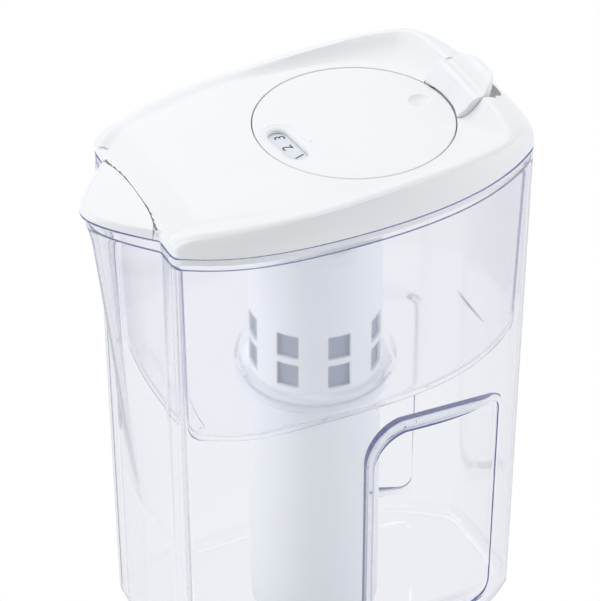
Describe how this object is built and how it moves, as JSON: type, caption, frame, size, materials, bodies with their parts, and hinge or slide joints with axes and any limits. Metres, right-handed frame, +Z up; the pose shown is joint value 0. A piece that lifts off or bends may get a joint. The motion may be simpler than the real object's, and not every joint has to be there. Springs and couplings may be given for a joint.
{
  "type": "water filter pitcher",
  "caption": "Clear fridge-door water filter jug with a V spout and flap, white lid with a round flip fill lid and memo dial, inner hopper and a lift-out filter cartridge.",
  "frame": {"origin": "middle of the resting face, under the middle of the overall length", "axes": "+X towards the rear, the spout is at -X, +Y to the side, +Z up"},
  "size_m": [0.189, 0.1156, 0.2597],
  "materials": {
    "clear_shell": "clear gloss",
    "frosted_hopper": "hazy clear",
    "lid_white": "satin",
    "number_white": "satin",
    "filter_white": "satin",
    "filter_screen": "woven mesh",
    "seal": "soft",
    "carbon": "granular",
    "fiber": "fibrous",
    "resin": "cast",
    "hinge_pin": "plain"
  },
  "bodies": {
    "jug": {"jug_body": "clear_shell"},
    "hopper_unit": {"hopper": "frosted_hopper", "seat_gasket": "seal"},
    "cartridge": {"cartridge_housing": "filter_white", "cartridge_cage": "filter_white", "cartridge_screen": "filter_screen", "cartridge_cap": "filter_white", "cartridge_o_ring": "seal", "carbon_bed": "carbon", "bed_divider": "filter_white", "fiber_bundle": "fiber", "potting_disc": "resin", "outlet_plate": "filter_white"},
    "lid": {"lid_shell": "lid_white", "lid_tray": "lid_white", "fill_collar": "lid_white", "flap_pin": "hinge_pin", "flip_pin": "hinge_pin"},
    "flap": {"spout_flap": "lid_white"},
    "flip_lid": {"flip_frame": "lid_white", "thumb_lever": "lid_white", "number_plate": "number_white"},
    "dial": {"dial_disc": "lid_white", "dial_retainer": "hinge_pin"}
  },
  "joints": [
    {"name": "hopper_lift", "type": "slide", "parent": "jug", "child": "hopper_unit", "axis": [0, 0, 1], "range_m": [0, 0.235]},
    {"name": "cartridge_lift", "type": "slide", "parent": "hopper_unit", "child": "cartridge", "axis": [0, 0, 1], "range_m": [0, 0.23]},
    {"name": "lid_lift", "type": "slide", "parent": "cartridge", "child": "lid", "axis": [0, 0, 1], "range_m": [0, 0.06]},
    {"name": "flap_hinge", "type": "hinge", "parent": "lid", "child": "flap", "pos_m": [-0.0732, 0, 0.2385], "axis": [0, 1, 0], "range_deg": [0, 60]},
    {"name": "flip_hinge", "type": "hinge", "parent": "lid", "child": "flip_lid", "pos_m": [0.074, 0, 0.251], "axis": [0, 1, 0], "range_deg": [0, 60]},
    {"name": "dial_turn", "type": "hinge", "parent": "flip_lid", "child": "dial", "pos_m": [0.024, 0, 0.247], "axis": [0, 0, 1], "continuous": true}
  ]
}
